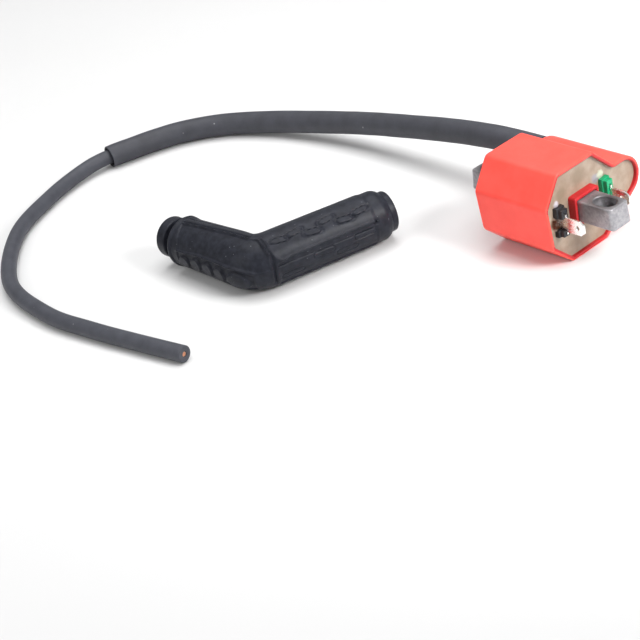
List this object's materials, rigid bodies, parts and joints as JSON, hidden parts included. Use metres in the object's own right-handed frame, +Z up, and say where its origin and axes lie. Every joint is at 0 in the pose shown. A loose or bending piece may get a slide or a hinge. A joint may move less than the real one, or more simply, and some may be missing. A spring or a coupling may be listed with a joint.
{
  "type": "ignition coil",
  "caption": "Resin-filled ignition coil in an open moulded case on a drilled core bar, with spade terminals, a sleeved high-tension lead and an elbow spark plug cap.",
  "frame": {"origin": "on the flat underside of the case, half way along the case and below the core's centre line", "axes": "+X along the core, out of the open side with the terminals; +Y towards the high-tension lead tower; +Z up, away from the underside"},
  "size_m": [0.281, 0.1943, 0.0404],
  "materials": {
    "case_plastic": "satin red moulding",
    "resin": "cast tan epoxy",
    "core_metal": "bare grey iron",
    "bobbin_plastic": "natural moulding",
    "copper": "enamelled copper wire",
    "tinned_tab": "tinned brass",
    "block_black": "black moulding",
    "block_green": "green moulding",
    "brass": "turned brass",
    "lead_rubber": "matte dark grey insulation",
    "sleeve_rubber": "matte dark grey sleeving",
    "boot_rubber": "matte near-black moulded rubber",
    "phenolic": "dark phenolic moulding",
    "spring_steel": "drawn spring wire",
    "ceramic": "glazed resistor body"
  },
  "bodies": {
    "coil": {"case": "case_plastic", "potting": "resin", "core": "core_metal", "primary_bobbin": "bobbin_plastic", "primary_winding": "copper", "primary_wire_a": "copper", "primary_wire_b": "copper", "secondary_bobbin": "bobbin_plastic", "secondary_winding": "copper", "terminal_tab_a": "tinned_tab", "terminal_tab_b": "tinned_tab", "terminal_block_a": "block_black", "terminal_block_b": "block_green", "ht_contact": "brass", "ht_jumper": "copper", "ht_lead": "lead_rubber", "lead_conductor": "copper", "lead_sleeve": "sleeve_rubber"},
    "spark_plug_cap": {"cap_boot": "boot_rubber", "cap_body": "phenolic", "cap_lead_screw": "brass", "cap_spring": "spring_steel", "cap_resistor": "ceramic", "cap_plug_terminal": "brass", "cap_terminal_clip": "spring_steel"}
  },
  "joints": [
    {"name": "cap_lift", "type": "slide", "parent": "coil", "child": "spark_plug_cap", "axis": [0, 0, 1], "range_m": [0, 0.1]}
  ]
}
